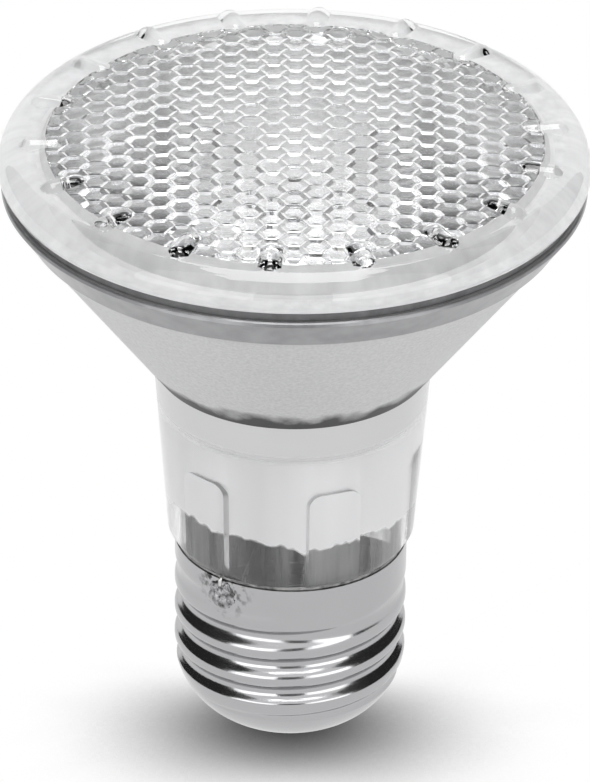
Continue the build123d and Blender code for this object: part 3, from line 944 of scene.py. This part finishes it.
def lens_mesh(steps, per_side):
    work = bmesh.new()
    rings = lens_rings()
    rows = []
    for radius, height in rings:
        row = []
        for i in range(steps):
            angle = 2 * math.pi * i / steps
            x, y = radius * math.cos(angle), radius * math.sin(angle)
            on_back = height > BELT_Z and radius <= SHOULDER_RADIUS + 0.05 * MM
            lifted = stud_height(x, y) if on_back else None
            row.append(work.verts.new((x, y, blended(height, lifted))))
        rows.append(row)
    for upper, lower in zip(rows, rows[1:]):
        for i in range(steps):
            j = (i + 1) % steps
            work.faces.new((upper[i], upper[j], lower[j], lower[i]))
    centre = work.verts.new((0, 0, LENS_TOP_Z))
    for i in range(steps):
        work.faces.new((rows[-1][i], rows[-1][(i + 1) % steps], centre))
    inner_wall = []
    for i in range(steps):
        angle = 2 * math.pi * i / steps
        x, y = WINDOW_RADIUS * math.cos(angle), WINDOW_RADIUS * math.sin(angle)
        inner_wall.append(work.verts.new((x, y, UNDERSIDE_Z)))
    for i in range(steps):
        j = (i + 1) % steps
        work.faces.new((rows[0][j], rows[0][i], inner_wall[i], inner_wall[j]))
    comb_patch(work, per_side)
    bmesh.ops.remove_doubles(work, verts=[v for v in work.verts if v not in inner_wall], dist=1e-7)
    loose = [e for e in work.edges if len(e.link_faces) == 1]
    bmesh.ops.triangle_fill(work, use_beauty=True, use_dissolve=False, edges=loose)
    bmesh.ops.recalc_face_normals(work, faces=work.faces)
    open_edges = sum(1 for e in work.edges if len(e.link_faces) != 2)
    print("lens", len(work.faces), "faces, open edges", open_edges)
    mesh = mesh_of(work, "lens_cover")
    shade(mesh, 24)
    return mesh


lens = put(lens_mesh(720, 6), "lens_glass", [glass, joint_face], "lens")
for face in lens.data.polygons:
    radius = math.hypot(face.center.x, face.center.y)
    on_joint = face.center.z < LENS_Z + 0.05 * MM
    on_inner_wall = radius > WINDOW_RADIUS - 0.02 * MM and face.center.z < UNDERSIDE_Z - 0.1 * MM
    if on_joint or (on_inner_wall and radius < MOUTH_RADIUS):
        face.material_index = 1


# %% [markdown]
# ## Bead, solder and the small pieces
#
# A bonding bead holds lens and body together. It was squeezed out soft, so its section bulges. It
# is turned like the body, and bites a little into both, as a bond does. Its outside sits back
# between flange and lens, and is painted dark there as painted shade of that gap.

# %% Bonding bead
BOND = 0.02 * MM


def bead_profile():
    outer = FLANGE_RADIUS - 0.5 * MM
    inner = MOUTH_RADIUS + 0.5 * MM
    low, high = FLANGE_TOP_Z - BOND, LENS_Z + BOND
    middle = (low + high) / 2
    return [
        (inner, low), (outer - 0.15 * MM, low), (outer, low + 0.3 * MM), (outer + 0.08 * MM, middle),
        (outer, high - 0.3 * MM), (outer - 0.15 * MM, high), (inner, high),
    ]


seal = put(turned("bonding_bead", bead_profile(), 240), "seal", [bead, bead_gap_shade], "rim_seal")
# Outward faces take the dark finish, painted shade of the gap; the rest takes the bead's own colour.
for face in seal.data.polygons:
    out = face.normal.x * face.center.x + face.normal.y * face.center.y
    face.material_index = 1 if out > 0.5 * math.hypot(face.center.x, face.center.y) else 0
print("bead", len(seal.data.polygons), "faces")


# %% [markdown]
# The solder of the side wire ran out on the skirt and froze. A plain ball would look laid on, so a
# fine one is flattened against the sheet and swollen by two sizes of noise.

# %% Side solder
LUMP_WIDTH_SHARE = 0.85
LUMP_LIFT = 0.62
LUMP_BACK = -0.12
LUMP_SWELLS = ((2.3, 4, 0.22), (9.0, 3, 0.08))


def solder_lump():
    low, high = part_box("side_solder")
    middle = (low + high) / 2
    out = SOLDER_WAY
    across = Vector((-out.y, out.x, 0))
    work = bmesh.new()
    bmesh.ops.create_icosphere(work, subdivisions=5, radius=1.0)
    foot = CAP_RADIUS - 0.05 * MM
    half_height = (high.z - low.z) / 2
    for vertex in work.verts:
        local = vertex.co.copy()
        swell = sum(
            noise.fractal(local * size, 0.8, 2.0, octaves) * share for size, octaves, share in LUMP_SWELLS
        )
        flat = out * foot + across * (local.x * half_height * LUMP_WIDTH_SHARE * (1 + swell))
        lift = max(local.y, LUMP_BACK) * (LUMP_LIFT + swell) * MM
        height = middle.z + local.z * half_height * (1 + swell * 0.5)
        vertex.co = flat + out * (lift - flat.length + foot) + Vector((0, 0, height))
    bmesh.ops.recalc_face_normals(work, faces=work.faces)
    mesh = mesh_of(work, "solder_lump")
    shade(mesh, 60)
    return mesh


put(solder_lump(), "solder", [solder_metal], "side_solder")

# %% [markdown]
# A little cement was pressed out between the cap's rim and the glass, and has caught dirt. It is a
# turned ring pushed in and out by noise, because a bump alone would leave a clean edge.

# %% Cement at the rim
RIM_CEMENT_GAP = 0.02 * MM
RIM_CEMENT_IN = COLLAR_RADIUS + RIM_CEMENT_GAP
RIM_CEMENT_WALL = CAP_RADIUS - SHEET - RIM_CEMENT_GAP
RIM_CEMENT_OUT = CAP_RADIUS - 0.12 * MM
RIM_CEMENT_FOOT_Z = CAP_TOP_Z - 0.5 * MM
RIM_CEMENT_TOP_Z = CAP_TOP_Z + 0.52 * MM


def ragged(mesh, height, scale):
    """Push every corner of a mesh in or out along its normal by noise."""
    for vertex in mesh.vertices:
        push = noise.fractal(vertex.co * scale, 0.7, 2.0, 4)
        vertex.co += vertex.normal * push * height


rim_cement_profile = [
    (RIM_CEMENT_IN, RIM_CEMENT_FOOT_Z), (RIM_CEMENT_WALL, RIM_CEMENT_FOOT_Z),
    (RIM_CEMENT_WALL, CAP_TOP_Z + 0.04 * MM), (RIM_CEMENT_OUT, CAP_TOP_Z + 0.16 * MM),
    (RIM_CEMENT_OUT, CAP_TOP_Z + 0.4 * MM), (RIM_CEMENT_OUT - 0.2 * MM, RIM_CEMENT_TOP_Z),
    (RIM_CEMENT_IN, RIM_CEMENT_TOP_Z),
]
rim_cement = turned("rim_cement", rim_cement_profile, 360, 50)
put(rim_cement, "cement", [rim_dirt])
ragged(rim_cement, 0.06 * MM, 1400.0)
print("rim cement", len(rim_cement.polygons), "faces")


# %% [markdown]
# The pieces inside the neck are small and half hidden. They could be modelled again, but their
# solids are fine enough, so each keeps its own and gets only its finish. The capsule is quartz,
# which is clearer than the pressed glass and bends light a little less.

# %% Finishes of the small pieces
def dress(name, material):
    """Give a carried-over solid its finish and smooth its turned faces."""
    mesh = nodes[name].data
    mesh.materials.clear()
    mesh.materials.append(material)
    shade(mesh, 35)


quartz_material, quartz_tree, quartz_shader = finish(
    "clear_quartz", Base_Color=(0.98, 0.98, 0.98, 1), Roughness=0.02, IOR=1.46, Transmission_Weight=1.0
)
bumps(quartz_tree, quartz_shader, grain(quartz_tree, 300.0, 2.0), 0.00005, 0.3)
dress("quartz_capsule", quartz_material)
for name in ("coil", "short_lead", "long_lead"):
    dress(name, tungsten)
for name in ("left_pin", "right_pin", "left_crimp", "right_crimp", "centre_wire", "side_wire"):
    dress(name, wire_metal)
for name in ("left_foil", "right_foil"):
    dress(name, foil_metal)
dress("capsule_cement", cement)
dress("centre_solder", solder_metal)
dress("centre_contact", contact_metal)
dress("insulator", button)
dress("wire_sleeve", sleeving)
print("pieces dressed")


# %% [markdown]
# ## Floor, light and camera
#
# A plain white floor, a soft light from above and a pale world. The world reads as white to the
# camera and in glass and metal, and is dimmer as a lamp. The white that the camera sees on the
# floor glows by itself, which takes no cast shadow. So it is darkened by how much of the sky the
# lamp hides. Two measures that lean to the left and to the right are multiplied.

# %% Floor
CONTACT_SHADE_REACH = 0.036
CONTACT_SHADE_POWER = 2.8
SHADE_LEAN_Y = 0.34
SHADE_LEAN_Z = 0.12
SHADE_FROM = 0.1
SHADE_TO = 0.77
SHADE_DARKEST = 0.03
FLOOR_HALF_WIDTH = 3.0


def leaning_shade(tree, lean):
    """How open the sky is over the floor, looked for on one side."""
    shade_node = tree.nodes.new("ShaderNodeAmbientOcclusion")
    shade_node.samples = 32
    shade_node.inputs["Distance"].default_value = CONTACT_SHADE_REACH
    tilt = tree.nodes.new("ShaderNodeCombineXYZ")
    for socket, value in zip(tilt.inputs, (lean, SHADE_LEAN_Y, SHADE_LEAN_Z)):
        socket.default_value = value
    join(tree, tilt, shade_node.inputs["Normal"])
    return shade_node.outputs["AO"]


def chosen(tree, factor, first, second):
    """One shader where the factor is 0 and another where it is 1."""
    node = tree.nodes.new("ShaderNodeMixShader")
    for socket, source in zip(node.inputs, (factor, first, second)):
        join(tree, source, socket)
    return node


def stage_floor():
    """A white floor. To the camera it is plain white, darkened only where the lamp shades it."""
    mesh = bpy.data.meshes.new("floor")
    half = FLOOR_HALF_WIDTH
    corners = [(-half, -half, 0), (half, -half, 0), (half, half, 0), (-half, half, 0)]
    mesh.from_pydata(corners, [], [(0, 1, 2, 3)])
    floor = linked("floor", mesh)
    material, tree, shader = finish(
        "pale_floor", Base_Color=(0.8, 0.8, 0.8, 1), Roughness=0.6, Specular_IOR_Level=0.0
    )
    both = combined(tree, "MULTIPLY", leaning_shade(tree, -1.0), leaning_shade(tree, 1.0))
    level = spread(tree, both, SHADE_DARKEST, 1.0, None, SHADE_FROM, SHADE_TO)
    seen = tree.nodes.new("ShaderNodeEmission")
    join(tree, combined(tree, "POWER", level, CONTACT_SHADE_POWER), seen.inputs["Color"])
    mirrored = tree.nodes.new("ShaderNodeEmission")
    mirrored.inputs["Color"].default_value = (0.9, 0.9, 0.9, 1)
    path = tree.nodes.new("ShaderNodeLightPath")
    by_mirror = chosen(tree, path.outputs["Is Glossy Ray"], shader, mirrored)
    straight = combined(tree, "MAXIMUM", path.outputs["Is Camera Ray"], path.outputs["Is Transmission Ray"])
    by_eye = chosen(tree, straight, by_mirror, seen)
    join(tree, by_eye, tree.nodes["Material Output"].inputs["Surface"])
    mesh.materials.append(material)


# %% [markdown]
# Bright metal shows its surroundings and little else. A studio hangs black and white cards round
# a plated cap, and this stage does the same: each card is a patch of a big sphere round the lamp.
# The cards light nothing and shade nothing, and the camera doesn't see them. Glass shows the white
# of the backdrop in their place, apart from two dark windows, which only glass shows.

# %% Cards
CARD_DISTANCE = 0.6


def card_material(name, level, through_glass):
    material = bpy.data.materials.new(name)
    material.use_nodes = True
    tree = material.node_tree
    tree.nodes.remove(tree.nodes["Principled BSDF"])
    glow = tree.nodes.new("ShaderNodeEmission")
    glow.inputs["Color"].default_value = (1, 1, 1, 1)
    glow.inputs["Strength"].default_value = level
    join(tree, glow, tree.nodes["Material Output"].inputs["Surface"])
    if not through_glass:
        path = tree.nodes.new("ShaderNodeLightPath")
        spread(tree, path.outputs["Transmission Depth"], level, 1.0, glow.inputs["Strength"], 0.0, 1.0)
    return material


def sky_card(name, turns, heights, level, in_metal=True, through_glass=False):
    """A patch of the sphere between two bearings and two heights, in degrees. Front is 0."""
    points, faces = [], []
    across, up, distance = 16, 8, CARD_DISTANCE
    for row in range(up + 1):
        lift = math.radians(heights[0] + (heights[1] - heights[0]) * row / up)
        for column in range(across + 1):
            turn = math.radians(turns[0] + (turns[1] - turns[0]) * column / across)
            flat = distance * math.cos(lift)
            points.append((flat * math.sin(turn), -flat * math.cos(turn), distance * math.sin(lift)))
    for row in range(up):
        for column in range(across):
            a = row * (across + 1) + column
            faces.append((a, a + 1, a + across + 2, a + across + 1))
    mesh = bpy.data.meshes.new(name)
    mesh.from_pydata(points, [], faces)
    mesh.materials.append(card_material(name, level, through_glass))
    piece = linked(name, mesh)
    piece.visible_camera = False
    piece.visible_diffuse = False
    piece.visible_shadow = False
    piece.visible_glossy = in_metal
    piece.visible_transmission = through_glass


for side, name in ((-1, "left"), (1, "right")):
    sky_card(f"white_card_{name}", (side * 14, side * 58), (0, 30), 2.4)
    sky_card(f"black_card_{name}", (side * 58, side * 138), (-3, 75), 0.03)
    sky_card(f"dark_window_{name}", (side * 62, side * 100), (25, 60), 0.1, False, True)
sky_card("black_card_front", (-14, 14), (0, 30), 0.12)


# %% [markdown]
# The world is the main light, even and pale. One broad lamp overhead adds soft shape, and is weak
# because the glass is pale already.

# %% World and light
def set_world(lamp_strength):
    """A white world for the eye, glass and metal, and a dimmer one as a light."""
    world = bpy.data.worlds.new("studio")
    bpy.context.scene.world = world
    world.use_nodes = True
    tree = world.node_tree
    background = tree.nodes["Background"]
    background.inputs["Color"].default_value = (1, 1, 1, 1)
    path = tree.nodes.new("ShaderNodeLightPath")
    either = combined(tree, "MAXIMUM", path.outputs["Is Camera Ray"], path.outputs["Is Glossy Ray"])
    seen = combined(tree, "MAXIMUM", either, path.outputs["Is Transmission Ray"])
    spread(tree, seen, lamp_strength, 1.0, background.inputs["Strength"], 0.0, 1.0)


stage_floor()
set_world(0.55)
light = bpy.data.lights.new("top_light", "AREA")
light.shape = "RECTANGLE"
light.size, light.size_y = 0.35, 0.5
light.energy = 3.0
lamp = linked("top_light", light)
lamp.location = (0.0, 0.0, 0.6)
lamp.rotation_euler = (-lamp.location).to_track_quat("-Z", "Y").to_euler()

# %% [markdown]
# The camera looks down thirty degrees through a long lens, as the picture does. Its aim is solved:
# the edge of the contact on the floor has to land on its row of the picture, and the lamp's axis
# on its column. The lamp leans a little in the picture, so the camera rolls by as much.

# %% Camera
PHOTO_WIDTH, PHOTO_HEIGHT = 590, 782
CAMERA_ELEVATION = math.radians(30)
CAMERA_DISTANCE = 1.0
PIXELS_PER_METRE = 8960.0
AXIS_PIXEL_X = 292.3
BASE_PIXEL_Y = 728.5
LEAN = math.radians(0.62)
CONTACT_EDGE = 3.1 * MM
SENSOR_HEIGHT = 36.0


def aim_camera():
    """A long lens at the photograph's angle, aimed so that the contact lands on its pixel."""
    data = bpy.data.cameras.new("camera")
    data.sensor_fit = "VERTICAL"
    data.sensor_height = SENSOR_HEIGHT
    data.lens = PIXELS_PER_METRE * CAMERA_DISTANCE / PHOTO_HEIGHT * SENSOR_HEIGHT
    data.clip_start = 0.01
    camera = linked("camera", data)
    rise, tilt = math.cos(CAMERA_ELEVATION), math.sin(CAMERA_ELEVATION)
    below = BASE_PIXEL_Y - PHOTO_HEIGHT / 2
    scale = CAMERA_DISTANCE * PIXELS_PER_METRE
    depth = CAMERA_DISTANCE - CONTACT_EDGE * rise
    target_z = (below * depth - CONTACT_EDGE * tilt * scale) / (rise * scale - below * tilt)
    target = Vector(((PHOTO_WIDTH / 2 - AXIS_PIXEL_X) / PIXELS_PER_METRE, 0, target_z))
    away = Vector((0, -rise, tilt))
    camera.location = target + away * CAMERA_DISTANCE
    level = (-away).to_track_quat("-Z", "Y")
    camera.rotation_euler = (level @ Quaternion((0, 0, 1), LEAN)).to_euler()
    bpy.context.scene.camera = camera
    print("camera", [round(v, 4) for v in camera.location])


aim_camera()
bpy.context.scene.view_settings.view_transform = "Standard"
